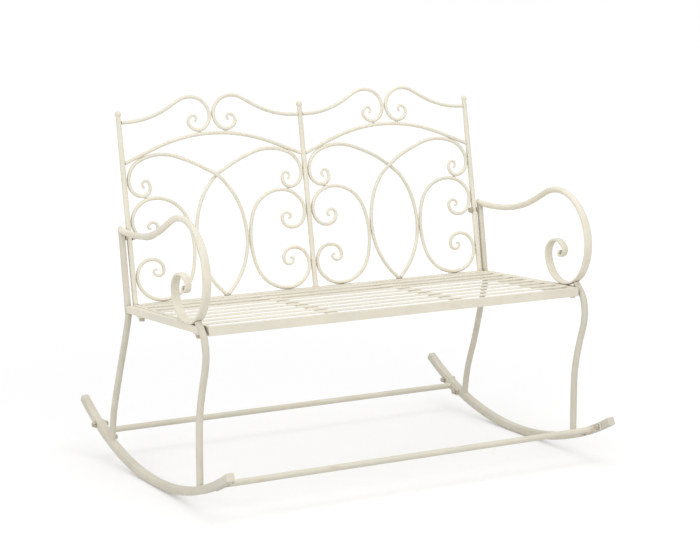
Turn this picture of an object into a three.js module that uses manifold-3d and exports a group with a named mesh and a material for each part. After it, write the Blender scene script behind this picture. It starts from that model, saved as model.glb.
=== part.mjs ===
// Rocking bench of painted metal: two tube side frames on curved rockers, a slatted seat and a scrolled back.
// X runs across the bench, Y to the rear and Z up; the origin is on the floor under the middle of its length.
// Left and right are as seen from the front, so left is on the side of negative X.
import * as THREE from "three";
import { mergeVertices } from "three/addons/utils/BufferGeometryUtils.js";
import Module from "manifold-3d";

const mm = 1;
const weld = 1e-4 * mm;

// Side frames: distance between their middle planes and the tubes they are bent from
const sideSpacing = 1080 * mm;
const frontLegTube = 17 * mm;
const rearLegTube = 16 * mm;
const armTube = 16 * mm;
const jointGap = 0.3 * mm;

// Rockers: radius of the rolling face, its lengths before and behind the lowest point, and the bar
const rockerRadius = 860 * mm;
const rockerFrontLength = 421 * mm;
const rockerRearLength = 446 * mm;
const rockerWidth = 20 * mm;
const rockerHeight = 20 * mm;
const rockerCorner = 2.5 * mm;
const rockerFacet = 26.5 * mm;

// Seat: front top edge, slope and the bars it is made of
const seatFrontY = -285 * mm;
const seatHeight = 444 * mm;
const seatSlope = THREE.MathUtils.degToRad(2.4);
const seatDepth = 432 * mm;
const seatHalfWidth = 526.5 * mm;
const seatBar = 10 * mm;
const seatBarHeight = 22.5 * mm;
const railWall = 1.6 * mm;
const slatCount = 8;
const slatWidth = 22 * mm;
const slatThickness = 2 * mm;
const firstSlatInset = 49.5 * mm;
const lastSlatInset = 40.2 * mm;
const slatPitch = (seatDepth - firstSlatInset - lastSlatInset) / (slatCount - 1);
const supportSpacing = 358 * mm;
const supportWidth = 30 * mm;
const supportThickness = 3 * mm;
const seatRearY = seatFrontY + seatDepth;

// Legs: feet and bend from the edges of the seat, reach of the front knee, rear legs set in over the rockers
const frontFootSetback = 29 * mm;
const kneeReach = 40 * mm;
const rearFootSetback = 114 * mm;
const rearBendSetback = 8 * mm;
const rearBendDrop = 47 * mm;
const rearLegInset = 5 * mm;
const frontFootY = seatFrontY + frontFootSetback;
const rearFootY = seatRearY + rearFootSetback;
const rearBendY = seatRearY + rearBendSetback;
const rearBendHeight = seatHeight - rearBendDrop;

// Arms: front of the curl, crest, rear corner and the ribbon that the curl is beaten out to
const armOverhang = 20 * mm;
const armSetback = 42 * mm;
const armRise = 240 * mm;
const ribbonWidth = 22 * mm;
const ribbonThickness = 7 * mm;
const ribbonTip = 15 * mm;
const armFrontY = seatFrontY - armOverhang;
const armRearY = seatRearY + armSetback;
const armCrest = seatHeight + armRise;

// Side rails of the frames, which carry the seat on four bolted lugs
const railWidth = 16 * mm;
const railHeight = 17.5 * mm;
const railRise = -1 * mm;
const lugLength = 26 * mm;
const lugHeight = 3 * mm;
const frontBoltRun = 38 * mm;
const rearBoltInset = 72 * mm;
const rearBoltRun = seatDepth - rearBoltInset;

// Back: recline, spacing of the three posts, rods and bottom rail
const recline = THREE.MathUtils.degToRad(10.5);
const backSetback = 9.4 * mm;
const backRun = seatDepth + backSetback;
const postSpacing = 515.2 * mm;
const postTube = 13.5 * mm;
const rod = 9.6 * mm;
const rodTip = 6 * mm;
const backRailDepth = 14 * mm;
const backRailHeight = 24 * mm;
const postFootDrop = 8 * mm;
const finialBall = 16.5 * mm;
const sidePostTop = 485 * mm;
const middlePostTop = 490 * mm;
const ovalInset = 80.7 * mm;
const archFoot = 352.5 * mm;
const archCrown = 418.5 * mm;
const crest = 513.5 * mm;

// Stretchers between the rockers, with an end plate that is bolted to each
const frontStretcherReach = 96 * mm;
const rearStretcherReach = 56 * mm;
const frontStretcherY = frontFootY - frontStretcherReach;
const rearStretcherY = rearFootY + rearStretcherReach;
const stretcherTube = 16 * mm;
const plateLength = 80 * mm;
const plateHeight = 17 * mm;
const plateThickness = 5 * mm;
const plateBoltSpacing = 63 * mm;

// Fasteners
const boltShank = 6 * mm;
const boltHead = 14 * mm;
const boltHeadHeight = 7 * mm;
const washerWidth = 17 * mm;
const washerThickness = 1.5 * mm;
const boltBore = boltShank + 2 * jointGap;
const frameBoltHeight = 168 * mm;
const frameBoltDepth = 12 * mm;

// Fineness of the bent bars
const bendSag = 0.6 * mm;
const bendStep = THREE.MathUtils.degToRad(25);
const rodSides = 8;
const tubeSides = 12;
const boltSides = 8;
const hexSides = 6;
const ballSteps = 6;
const frontLegSteps = 18;
const rearLegSteps = 9;

const wasm = await Module();
wasm.setup();

const paint = new THREE.MeshStandardMaterial({ color: 0xe8e3d5, roughness: 0.5, metalness: 0.1 });
const steel = new THREE.MeshStandardMaterial({ color: 0x9a917f, roughness: 0.55, metalness: 0.5 });

const bench = new THREE.Group();
const halfBay = postSpacing / 2;
const halfGap = jointGap / 2;
const sideRailX = sideSpacing / 2 - rearLegInset;

// Turns a drawing in XY with its thickness along Z into the YZ plane with its thickness along X
const sideways = new THREE.Matrix4().makeBasis(
  new THREE.Vector3(0, 1, 0),
  new THREE.Vector3(0, 0, 1),
  new THREE.Vector3(1, 0, 0),
);

function point(x, y) {
  return new THREE.Vector2(x, y);
}

function add(group, name, geometry, material) {
  const mesh = new THREE.Mesh(geometry, material);
  mesh.name = name;
  group.add(mesh);
  return mesh;
}

function solid(geometry) {
  const bare = geometry.clone();
  bare.deleteAttribute("normal");
  bare.deleteAttribute("uv");
  const merged = mergeVertices(bare, weld);
  return new wasm.Manifold(
    new wasm.Mesh({
      numProp: 3,
      vertProperties: merged.attributes.position.array,
      triVerts: new Uint32Array(merged.index.array),
    }),
  );
}

function surface(body) {
  const mesh = body.getMesh();
  const geometry = new THREE.BufferGeometry();
  geometry.setAttribute("position", new THREE.BufferAttribute(mesh.vertProperties, 3));
  geometry.setIndex(new THREE.BufferAttribute(mesh.triVerts, 1));
  geometry.computeVertexNormals();
  return geometry;
}

function join(first, ...others) {
  return surface(others.reduce((body, other) => body.add(solid(other)), solid(first)));
}

function cut(first, ...others) {
  return surface(others.reduce((body, other) => body.subtract(solid(other)), solid(first)));
}

function block(x0, x1, y0, y1, z0, z1) {
  const box = new THREE.BoxGeometry(x1 - x0, y1 - y0, z1 - z0);
  return box.translate((x0 + x1) / 2, (y0 + y1) / 2, (z0 + z1) / 2);
}

// Rectangular tube along X, open at its ends
function boxTube(x0, x1, y0, y1, z0, z1) {
  const inside = block(2 * x0, 2 * x1, y0 + railWall, y1 - railWall, z0 + railWall, z1 - railWall);
  return cut(block(x0, x1, y0, y1, z0, z1), inside);
}

// Section outlines, as points across the path and along Z
function roundOutline(width, depth, sides, squareness = 1) {
  const power = 1 / squareness;
  return Array.from({ length: sides }, (_, i) => {
    const angle = (2 * Math.PI * i) / sides;
    const across = Math.cos(angle);
    const along = Math.sin(angle);
    return point(
      (width / 2) * Math.sign(across) * Math.abs(across) ** power,
      (depth / 2) * Math.sign(along) * Math.abs(along) ** power,
    );
  });
}

function softSquareOutline(width, depth, corner) {
  const outline = [];
  for (let quarter = 0; quarter < 4; quarter++) {
    const signX = quarter === 0 || quarter === 3 ? 1 : -1;
    const signY = quarter < 2 ? 1 : -1;
    for (let step = 0; step < 3; step++) {
      const angle = ((quarter + step / 2) * Math.PI) / 2;
      outline.push(
        point(
          signX * (width / 2 - corner) + corner * Math.cos(angle),
          signY * (depth / 2 - corner) + corner * Math.sin(angle),
        ),
      );
    }
  }
  return outline;
}

// Closed bar along a path in XY. Each bend is mitred; a cut gives the direction of a slanted end face.
function bar(path, outlineAt, cuts = {}) {
  const last = path.length - 1;
  const lengths = [0];
  for (let i = 1; i <= last; i++) lengths.push(lengths[i - 1] + flat(path[i]).distanceTo(flat(path[i - 1])));
  const positions = [];
  let sides = 0;
  path.forEach((spot, i) => {
    const before = flat(path[Math.max(i, 1)]).sub(flat(path[Math.max(i, 1) - 1])).normalize();
    const after = flat(path[Math.min(i + 1, last)]).sub(flat(path[Math.min(i + 1, last) - 1])).normalize();
    const square = point(-before.y, before.x);
    let across = before.clone().add(after).normalize();
    across = point(-across.y, across.x);
    const slant = i === 0 ? cuts.start : i === last ? cuts.end : null;
    if (slant) across = slant.clone().normalize().multiplyScalar(Math.sign(slant.dot(square)));
    const stretch = 1 / across.dot(square);
    const outline = outlineAt(lengths[i], lengths[last]);
    sides = outline.length;
    for (const corner of outline) {
      const shift = corner.x * stretch;
      positions.push(spot.x + across.x * shift, spot.y + across.y * shift, (spot.z || 0) + corner.y);
    }
  });
  const index = [];
  for (let i = 0; i < last; i++) {
    for (let k = 0; k < sides; k++) {
      const a = i * sides + k;
      const b = i * sides + ((k + 1) % sides);
      index.push(a, b, b + sides, a, b + sides, a + sides);
    }
  }
  for (let k = 1; k < sides - 1; k++) {
    index.push(0, k + 1, k);
    index.push(last * sides, last * sides + k, last * sides + k + 1);
  }
  const geometry = new THREE.BufferGeometry();
  geometry.setAttribute("position", new THREE.Float32BufferAttribute(positions, 3));
  geometry.setIndex(index);
  geometry.computeVertexNormals();
  return geometry;
}

function flat(spot) {
  return point(spot.x, spot.y);
}

// Path of arcs that run on into each other: each turn is a radius, as a share of size, and an angle in degrees
function arcs(size, heading, turnShares) {
  const path = [point(0, 0)];
  let direction = THREE.MathUtils.degToRad(heading);
  for (const [radiusShare, degrees] of turnShares) {
    const radius = radiusShare * size;
    const turn = THREE.MathUtils.degToRad(degrees);
    const step = Math.min(bendStep, 2 * Math.acos(1 - bendSag / Math.max(radius, bendSag)));
    const steps = Math.ceil(Math.abs(turn) / step);
    const side = Math.sign(turn);
    const centre = path[path.length - 1].clone();
    centre.add(point(-Math.sin(direction), Math.cos(direction)).multiplyScalar(side * radius));
    for (let i = 1; i <= steps; i++) {
      const angle = direction + (turn * i) / steps;
      path.push(point(centre.x + side * radius * Math.sin(angle), centre.y - side * radius * Math.cos(angle)));
    }
    direction += turn;
  }
  return path;
}

// Stretches a path so that it just fills a box
function fill(path, box) {
  const bounds = new THREE.Box2().setFromPoints(path);
  const size = bounds.getSize(point(0, 0));
  return path.map((spot) =>
    point(
      box.left + ((spot.x - bounds.min.x) / size.x) * (box.right - box.left),
      box.bottom + ((spot.y - bounds.min.y) / size.y) * (box.top - box.bottom),
    ),
  );
}

function mirrored(path) {
  return path.map((spot) => point(-spot.x, spot.y));
}

function toSegment(spot, start, end) {
  const line = end.clone().sub(start);
  const share = THREE.MathUtils.clamp(spot.clone().sub(start).dot(line) / line.lengthSq(), 0, 1);
  return spot.distanceTo(start.clone().addScaledVector(line, share));
}

// Least distance between two paths that don't cross
function apart(first, second) {
  let least = Infinity;
  for (const [one, other] of [
    [first, second],
    [second, first],
  ]) {
    for (const spot of one) {
      for (let i = 1; i < other.length; i++) least = Math.min(least, toSegment(spot, other[i - 1], other[i]));
    }
  }
  return least;
}

// Finds the value between two limits at which a distance that grows with it is the wanted one
function settle(low, high, distanceAt, wanted) {
  let [from, to] = [low, high];
  for (let i = 0; i < 24; i++) {
    const middle = (from + to) / 2;
    if (distanceAt(middle) < wanted) from = middle;
    else to = middle;
  }
  return (from + to) / 2;
}

// Smooth path through points that are given as shares of a reach and a height
function smooth(points, steps) {
  const curve = new THREE.CatmullRomCurve3(points.map((spot) => new THREE.Vector3(spot.x, spot.y, 0)));
  return curve.getSpacedPoints(steps).map(flat);
}

// Rockers

const rockerCentreRadius = rockerRadius - rockerHeight / 2;
const facetAngle = 2 * Math.atan(rockerFacet / (2 * rockerRadius));
const rockerPivotHeight = rockerCentreRadius * Math.cos(facetAngle / 2) + rockerHeight / 2;

function onRocker(y, inset) {
  const radius = rockerRadius - inset;
  return rockerPivotHeight - Math.sqrt(radius * radius - y * y);
}

// Straight facets with the middle one flat on the floor, so that the bench comes to rest level
function rockerPath() {
  const front = Math.asin(rockerFrontLength / rockerRadius);
  const rear = Math.asin(rockerRearLength / rockerRadius);
  const angles = [];
  for (let angle = facetAngle / 2; angle < front - facetAngle / 2; angle += facetAngle) angles.unshift(-angle);
  for (let angle = facetAngle / 2; angle < rear - facetAngle / 2; angle += facetAngle) angles.push(angle);
  return [-front, ...angles, rear].map((angle) =>
    point(rockerCentreRadius * Math.sin(angle), rockerPivotHeight - rockerCentreRadius * Math.cos(angle)),
  );
}

// Places along the rockers where the stretcher plates are bolted
function plateFrame(y) {
  const slope = Math.asin(y / rockerCentreRadius);
  return { centre: point(y, onRocker(y, plateHeight / 2)), slope };
}

function plateBoltSpots(y) {
  const { centre, slope } = plateFrame(y);
  return [-1, 1].map((end) =>
    point(
      centre.x + ((end * plateBoltSpacing) / 2) * Math.cos(slope),
      centre.y + ((end * plateBoltSpacing) / 2) * Math.sin(slope),
    ),
  );
}

// Rod or bore along Z, from a start to an end
function pin(diameter, start, end, sides = boltSides) {
  const cylinder = new THREE.CylinderGeometry(diameter / 2, diameter / 2, Math.abs(end - start), sides);
  return cylinder.rotateX(Math.PI / 2).translate(0, 0, (start + end) / 2);
}

function rocker(inward) {
  const body = bar(rockerPath(), () => softSquareOutline(rockerHeight, rockerWidth, rockerCorner));
  const face = (inward * rockerWidth) / 2;
  const bores = [frontStretcherY, rearStretcherY].flatMap(plateBoltSpots).map((spot) => {
    const deep = spot.x > rearStretcherY ? 2 * rockerWidth : frameBoltDepth + jointGap;
    return pin(boltBore, face - inward * deep, face + inward * rockerWidth).translate(spot.x, spot.y, 0);
  });
  return cut(body, ...bores);
}

// Seat plane, as seen from the side: run is measured down the slope from the front edge, rise square to it
function onSeat(run, rise) {
  return point(
    seatFrontY + run * Math.cos(seatSlope) + rise * Math.sin(seatSlope),
    seatHeight - run * Math.sin(seatSlope) + rise * Math.cos(seatSlope),
  );
}

function fromSeat(spot) {
  const y = spot.x - seatFrontY;
  const z = spot.y - seatHeight;
  return point(
    y * Math.cos(seatSlope) - z * Math.sin(seatSlope),
    y * Math.sin(seatSlope) + z * Math.cos(seatSlope),
  );
}

// Arms: from the rear corner over the crest and down into the curl that stands on the side rail

const armHeading = 185;
const armTurnShares = [
  [2.8, -11],
  [1.65, -25],
  [0.56, 113],
  [0.5, 46],
  [0.37, 68],
  [0.315, 64],
  [0.166, 150],
  [0.066, 130],
  [0.024, 190],
];

function armPath() {
  let bottom = onSeat(0, railRise).y;
  let path = [];
  for (let i = 0; i < 4; i++) {
    path = arcs(armCrest - bottom, armHeading, armTurnShares);
    path = fill(path, { left: armFrontY, right: armRearY, bottom, top: armCrest });
    const lowest = path.reduce((best, spot) => (spot.y < best.y ? spot : best));
    const run = fromSeat(lowest).x;
    bottom = onSeat(run, railRise + ribbonThickness / 2 + 2 * jointGap).y;
  }
  return path;
}

const arm = armPath();

const cornerSpot = arm[0];

// The rear of the arm leans in to meet the rear leg, which stands closer to the back than the front leg
function leaningIn(path, inward) {
  return path.map((spot) => {
    const share = THREE.MathUtils.smoothstep(spot.x, armFrontY / 2, armRearY);
    return new THREE.Vector3(spot.x, spot.y, inward * rearLegInset * share);
  });
}

// The tube is round at the rear, soft and flatter over the curl, and a thin ribbon in the scroll
const flattenShares = { start: 0.36, spread: 0.56, ribbon: 0.66, tip: 0.86 };

function armOutline(run, length) {
  const along = run / length;
  const share = THREE.MathUtils.smoothstep(along, flattenShares.start, flattenShares.ribbon);
  const thickness = THREE.MathUtils.lerp(armTube, ribbonThickness, share);
  const spread = THREE.MathUtils.smoothstep(along, flattenShares.start, flattenShares.spread);
  const tip = THREE.MathUtils.smoothstep(along, flattenShares.tip, 1);
  const ribbon = THREE.MathUtils.lerp(ribbonWidth, ribbonTip, tip);
  return roundOutline(thickness, THREE.MathUtils.lerp(armTube, ribbon, spread), tubeSides, 1 + share);
}

// Front legs: from the rocker up to the underside of the curl

const frontLegShares = [
  [0.025, 0],
  [0.035, 0.17],
  [-0.04, 0.42],
  [-0.5, 0.615],
  [-0.83, 0.715],
  [-1, 0.81],
  [-0.73, 0.925],
];
const curlSeatRise = 10 * mm;

function seatOnCurl() {
  const wanted = onSeat(0, railRise).y + curlSeatRise;
  const middle = (armFrontY + armRearY) / 2;
  let best = 1;
  for (let i = 1; i < arm.length - 1; i++) {
    const front = arm[i].x < middle && arm[i + 1].x > arm[i].x && arm[i + 1].y < arm[i].y;
    if (front && Math.abs(arm[i].y - wanted) < Math.abs(arm[best].y - wanted)) best = i;
  }
  const along = arm[best + 1].clone().sub(arm[best - 1]).normalize();
  const outward = point(along.y, -along.x);
  return { along, spot: arm[best].clone().addScaledVector(outward, ribbonThickness / 2 + 2 * jointGap) };
}

function frontLegPath() {
  const foot = onRocker(frontFootY, rockerHeight) + jointGap;
  const top = seatOnCurl().spot;
  const points = frontLegShares.map(([reach, height]) =>
    point(frontFootY + reach * kneeReach, foot + height * (top.y - foot)),
  );
  points.push(top);
  return smooth(points, frontLegSteps);
}

const frontLeg = frontLegPath();

function footCut(y) {
  const slope = Math.asin(y / rockerCentreRadius);
  return point(Math.cos(slope), Math.sin(slope));
}

// Rear legs: from the corner under the arm down to the bend at the seat and out to the rocker

const rearLegSquareness = 1.15;
const rearLegShares = [
  [0.2, 0.19],
  [0.54, 0.5],
  [0.89, 0.8],
];

function rearLegPath() {
  const foot = point(rearFootY, onRocker(rearFootY, rockerHeight) + jointGap);
  const bend = point(rearBendY, rearBendHeight);
  const lower = rearLegShares.map(([reach, drop]) =>
    point(bend.x + reach * (foot.x - bend.x), bend.y + drop * (foot.y - bend.y)),
  );
  const path = smooth([bend, ...lower, foot], rearLegSteps);
  const upper = cornerSpot.clone().sub(bend).normalize();
  return [cornerSpot.clone().addScaledVector(upper, -halfGap * 2), ...path];
}

const rearLeg = rearLegPath();

// Set in above the bend, to meet the arm, and over the middle of the rocker at the foot
function settingIn(path, inward) {
  return path.map((spot) => {
    const share = THREE.MathUtils.smoothstep(spot.y, rearBendHeight / 2, rearBendHeight);
    return new THREE.Vector3(spot.x, spot.y, inward * rearLegInset * share);
  });
}

// Both tubes are cut along the line that halves the corner
function cornerCut() {
  const alongArm = arm[1].clone().sub(arm[0]).normalize();
  const alongLeg = rearLeg[1].clone().sub(rearLeg[0]).normalize();
  return alongArm.add(alongLeg).normalize();
}

// Side rails between the legs, drawn in seat runs and rises

const railTop = railRise;
const railBottom = railRise - railHeight;

// Run at which the face of a leg, on the given side of its middle line, passes a height over the seat plane
function legFaceRun(path, half, side, rise) {
  const face = path.map((spot, i) => {
    const before = path[Math.max(i - 1, 0)];
    const after = path[Math.min(i + 1, path.length - 1)];
    const along = after.clone().sub(before).normalize();
    const square = point(along.y, -along.x);
    if (square.x * side < 0) square.negate();
    return fromSeat(spot.clone().addScaledVector(square, half));
  });
  for (let i = 1; i < face.length; i++) {
    const [a, b] = [face[i - 1], face[i]];
    if ((a.y - rise) * (b.y - rise) <= 0) return a.x + ((b.x - a.x) * (rise - a.y)) / (b.y - a.y);
  }
  throw new Error("the leg doesn't pass this height");
}

function sideRail() {
  const front = (rise) => legFaceRun(frontLeg, frontLegTube / 2 + jointGap, 1, rise);
  const rear = (rise) => legFaceRun(rearLeg, rearLegTube / 2 + jointGap, -1, rise);
  const outline = new THREE.Shape([
    point(front(railBottom), railBottom),
    point(rear(railBottom), railBottom),
    point(rear(railTop), railTop),
    point(front(railTop), railTop),
  ]);
  const beam = new THREE.ExtrudeGeometry(outline, { depth: railWidth, bevelEnabled: false });
  beam.translate(0, 0, -railWidth / 2).applyMatrix4(sideways);
  return cut(beam, ...seatBores());
}

function seatBores() {
  return [frontBoltRun, rearBoltRun].map((run) =>
    pin(boltBore, railBottom - lugHeight * 2, railBottom + frameBoltDepth + jointGap).translate(0, run, 0),
  );
}

// Hexagon bolt with its washer on the XY plane's upper side and its shank below it
function bolt(depth) {
  const washer = pin(washerWidth, 0, washerThickness, tubeSides);
  const head = pin(boltHead, washerThickness / 2, washerThickness + boltHeadHeight, hexSides);
  return join(washer, head, pin(boltShank, -depth, washerThickness / 2));
}

// Bolt that passes through to a washer and nut on the far side, at a given depth
function throughBolt(depth) {
  const washer = pin(washerWidth, -depth - washerThickness, -depth, tubeSides);
  const nut = pin(boltHead, -depth - washerThickness - boltHeadHeight, -depth - washerThickness / 2, hexSides);
  return join(bolt(depth + washerThickness / 2), washer, nut);
}

// Seat

function seatSideRail(outward) {
  const inner = seatHalfWidth - seatBar;
  const reach = sideRailX + railWidth / 2 - jointGap;
  const top = railBottom - jointGap;
  const front = seatBar + jointGap;
  const rear = seatDepth - seatBar - jointGap;
  const rail = block(inner, seatHalfWidth, front, rear, -seatBarHeight, 0);
  const lugs = [frontBoltRun, rearBoltRun].map((run) =>
    block(seatHalfWidth - seatBar / 2, reach, run - lugLength / 2, run + lugLength / 2, top - lugHeight, top),
  );
  const bores = seatBores().map((bore) => bore.translate(sideRailX, 0, 0));
  const made = cut(join(rail, ...lugs), ...bores);
  return outward > 0 ? made : surface(solid(made).mirror([1, 0, 0]));
}

function buildSeat() {
  const seat = new THREE.Group();
  seat.position.set(0, seatFrontY, seatHeight);
  seat.rotation.x = -seatSlope;
  bench.add(seat);
  const inner = seatHalfWidth - seatBar - jointGap;
  add(seat, "seat_front_rail", block(-seatHalfWidth, seatHalfWidth, 0, seatBar, -seatBarHeight, 0), paint);
  const rearRail = boxTube(-seatHalfWidth, seatHalfWidth, seatDepth - seatBar, seatDepth, -seatBarHeight, 0);
  add(seat, "seat_rear_rail", rearRail, paint);
  for (let i = 0; i < slatCount; i++) {
    const middle = firstSlatInset + i * slatPitch;
    const slat = block(-inner, inner, middle - slatWidth / 2, middle + slatWidth / 2, -slatThickness, 0);
    add(seat, "seat_slat_" + (i + 1), slat, paint);
  }
  for (const [side, sign] of [
    ["left", -1],
    ["right", 1],
  ]) {
    const middle = (sign * supportSpacing) / 2;
    const top = -slatThickness - jointGap;
    const support = block(
      middle - supportWidth / 2,
      middle + supportWidth / 2,
      seatBar + jointGap,
      seatDepth - seatBar - jointGap,
      top - supportThickness,
      top,
    );
    add(seat, side + "_slat_support", support, paint);
    add(seat, side + "_seat_side_rail", seatSideRail(sign), paint);
    const rail = add(seat, side + "_frame_side_rail", sideRail(), paint);
    rail.position.x = sign * sideRailX;
    for (const [end, run] of [
      ["front", frontBoltRun],
      ["rear", rearBoltRun],
    ]) {
      const fastener = add(seat, side + "_" + end + "_seat_bolt", bolt(lugHeight + frameBoltDepth), steel);
      fastener.rotation.x = Math.PI;
      fastener.position.set(sign * sideRailX, run, railBottom - lugHeight - 2 * jointGap);
    }
  }
}

// Back panel, drawn in its own plane: X across, Y up the slope of the back, Z to the front

const postFace = halfBay - postTube / 2;
const rodLimit = postFace - rod / 2 - jointGap;
const rodApart = rod + jointGap;
const railLean = recline + seatSlope;

const archTurnShares = [
  [7, -20],
  [24, -4],
];

const ovalTurnShares = [
  [1.75, -18],
  [0.695, -78],
  [0.52, -55],
  [0.395, -60],
  [0.285, -85],
  [0.19, -74],
  [0.106, -150],
  [0.042, -130],
];

const lowerOvalTurnShares = [
  [1.75, -18],
  [0.695, -78],
  [0.52, -55],
  [0.41, -60],
  [0.31, -85],
  [0.206, -74],
  [0.114, -150],
  [0.045, -145],
];

const ogiveTurnShares = [
  [0.0265, 210],
  [0.062, 130],
  [0.1, 81],
  [0.16, 68],
  [0.365, 44],
  [1.18, 15],
  [0.465, 37],
  [0.655, 20],
  [0.525, 49.5],
];
const ogiveHeading = 25;

const crestTurnShares = [
  [0.094, -157],
  [0.19, -115],
  [0.335, -92],
  [0.47, -78],
  [0.6, -65],
  [0.77, -38],
  [3.05, 15],
  [2.75, 22],
];
const crestHeading = 150;

function archPath() {
  const half = arcs(archCrown - archFoot, 0, archTurnShares);
  return fill(half, { left: 0, right: postFace - jointGap, bottom: archFoot, top: archCrown });
}

function ovalPath(top) {
  const bottom = (rod / 2 + jointGap) / Math.cos(railLean);
  const middle = (bottom + top) / 2;
  const half = (turnShares) =>
    fill(arcs(top - middle, 90, turnShares), { left: ovalInset, right: rodLimit, bottom: middle, top });
  const upper = half(ovalTurnShares);
  const lower = half(lowerOvalTurnShares).map((spot) => point(spot.x, 2 * middle - spot.y));
  return [...lower.slice(1).reverse(), ...upper];
}

function ogivePath(left, top) {
  const turned = ogiveTurnShares.reduce((sum, [, degrees]) => sum + degrees, ogiveHeading);
  const bottom = (rod / 2) * Math.abs(Math.cos(THREE.MathUtils.degToRad(turned))) + jointGap;
  return fill(arcs(top - bottom, ogiveHeading, ogiveTurnShares), { left: -left, right: rodLimit, bottom, top });
}

function crestPath(bottom) {
  return fill(arcs(crest - bottom, crestHeading, crestTurnShares), {
    left: rod / 2 + halfGap,
    right: postFace - jointGap,
    bottom,
    top: crest,
  });
}

// Moves the curves until each one touches its neighbours
function settleBack() {
  const arch = archPath();
  let ovalTop = archFoot * 0.75;
  let left = ovalInset - rodApart;
  let top = archCrown - 4 * rod;
  let oval = ovalPath(ovalTop);
  for (let i = 0; i < 4; i++) {
    top = archCrown - settle(rod, 9 * rod, (drop) => apart(ogivePath(left, archCrown - drop), arch), rodApart);
    const gapAt = (inset) => apart(mirrored(ogivePath(ovalInset - inset, top)), oval);
    left = ovalInset - settle(rod / 2, 3 * rod, gapAt, rodApart);
    const ogive = ogivePath(left, top);
    const dropAt = (drop) => apart(ovalPath(archFoot - drop), ogive.slice(0, Math.round(ogive.length * 0.6)));
    ovalTop = archFoot - settle(5 * rod, archFoot * 0.5, dropAt, rodApart);
    oval = ovalPath(ovalTop);
  }
  const riseAt = (rise) => apart(crestPath(archFoot + rise), arch);
  const crestBottom = archFoot + settle(5 * rod, 9 * rod, riseAt, rodApart);
  return { arch, oval, ogive: ogivePath(left, top), crestScroll: crestPath(crestBottom) };
}

// Round rod that thins towards one end or both
function rodOutline(taper) {
  const reach = 6 * rod;
  return (run, length) => {
    const fromStart = taper.start ? run : length;
    const fromEnd = taper.end ? length - run : length;
    const share = Math.min(1, Math.min(fromStart, fromEnd) / reach);
    const width = THREE.MathUtils.lerp(rodTip, rod, share);
    return roundOutline(width, width, rodSides);
  };
}

// Where the two ogive rods of a bay cross, one bends forward and the other back
function bentRoundCrossing(path, forward) {
  const reach = 4 * rod;
  const at = path.findIndex((spot, i) => i > 0 && path[i - 1].x > 0 && spot.x <= 0);
  const share = path[at - 1].x / (path[at - 1].x - path[at].x);
  const crossing = path[at - 1].clone().lerp(path[at], share);
  const fine = [];
  path.forEach((spot, i) => {
    if (i > 0) {
      const before = path[i - 1];
      const near = toSegment(crossing, before, spot) < reach;
      const pieces = near ? Math.ceil(before.distanceTo(spot) / (rod * 0.9)) : 1;
      for (let k = 1; k < pieces; k++) fine.push(before.clone().lerp(spot, k / pieces));
    }
    fine.push(spot);
  });
  return fine.map((spot) => {
    const share = THREE.MathUtils.smoothstep(reach - spot.distanceTo(crossing), 0, reach - 1.2 * rod);
    return new THREE.Vector3(spot.x, spot.y, forward * (rod / 2 + halfGap) * share);
  });
}

// Neck under the ball of a post, as shares of the post's radius
const neckShares = { radius: 0.8, drop: 0.3 };

function mirroredBar(geometry) {
  return surface(solid(geometry).mirror([1, 0, 0]));
}

function post(top, foot, bored) {
  const ballRadius = finialBall / 2;
  const shaft = postTube / 2;
  const ballCentre = top - ballRadius;
  const neckAngle = Math.asin((shaft * neckShares.radius) / ballRadius);
  const profile = [point(0, foot), point(shaft, foot)];
  profile.push(point(shaft, ballCentre - ballRadius * Math.cos(neckAngle) - shaft * neckShares.drop));
  for (let i = 0; i < ballSteps; i++) {
    const angle = neckAngle + ((Math.PI - neckAngle) * i) / ballSteps;
    profile.push(point(ballRadius * Math.sin(angle), ballCentre - ballRadius * Math.cos(angle)));
  }
  profile.push(point(0, top));
  const turned = new THREE.LatheGeometry(profile, tubeSides);
  if (!bored) return turned;
  const bore = pin(boltBore, -postTube, postTube).rotateY(Math.PI / 2);
  return cut(turned, bore.translate(0, frameBoltHeight, 0));
}

function buildBack() {
  const back = new THREE.Group();
  const foot = onSeat(backRun, 0);
  back.position.set(0, foot.x, foot.y);
  back.rotation.x = Math.PI / 2 - recline;
  bench.add(back);
  const { arch, oval, ogive, crestScroll } = settleBack();
  const upright = point(0, 1);
  const archBar = bar([...mirrored(arch).reverse(), ...arch.slice(1)], rodOutline({}), {
    start: upright,
    end: upright,
  });
  const ovalBar = bar(oval, rodOutline({ start: true, end: true }));
  const crestBar = bar(crestScroll, rodOutline({ start: true }));
  const ogiveBars = [1, -1].map((forward) => bar(bentRoundCrossing(ogive, forward), rodOutline({ start: true })));
  for (const [bay, sign] of [
    ["left", -1],
    ["right", 1],
  ]) {
    const place = (name, geometry) => {
      add(back, bay + "_bay_" + name, geometry, paint).position.x = sign * halfBay;
    };
    place("arch", archBar);
    place("right_oval_scroll", ovalBar);
    place("left_oval_scroll", mirroredBar(ovalBar));
    place("right_crest_scroll", crestBar);
    place("left_crest_scroll", mirroredBar(crestBar));
    place("right_ogive_rod", sign > 0 ? ogiveBars[0] : ogiveBars[1]);
    place("left_ogive_rod", mirroredBar(sign > 0 ? ogiveBars[1] : ogiveBars[0]));
  }
  add(back, "back_post_middle", post(middlePostTop, (postTube / 2) * Math.tan(railLean) + jointGap, false), paint);
  add(back, "back_post_left", post(sidePostTop, -postFootDrop, true), paint).position.x = -postSpacing;
  add(back, "back_post_right", post(sidePostTop, -postFootDrop, true), paint).position.x = postSpacing;
}

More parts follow.
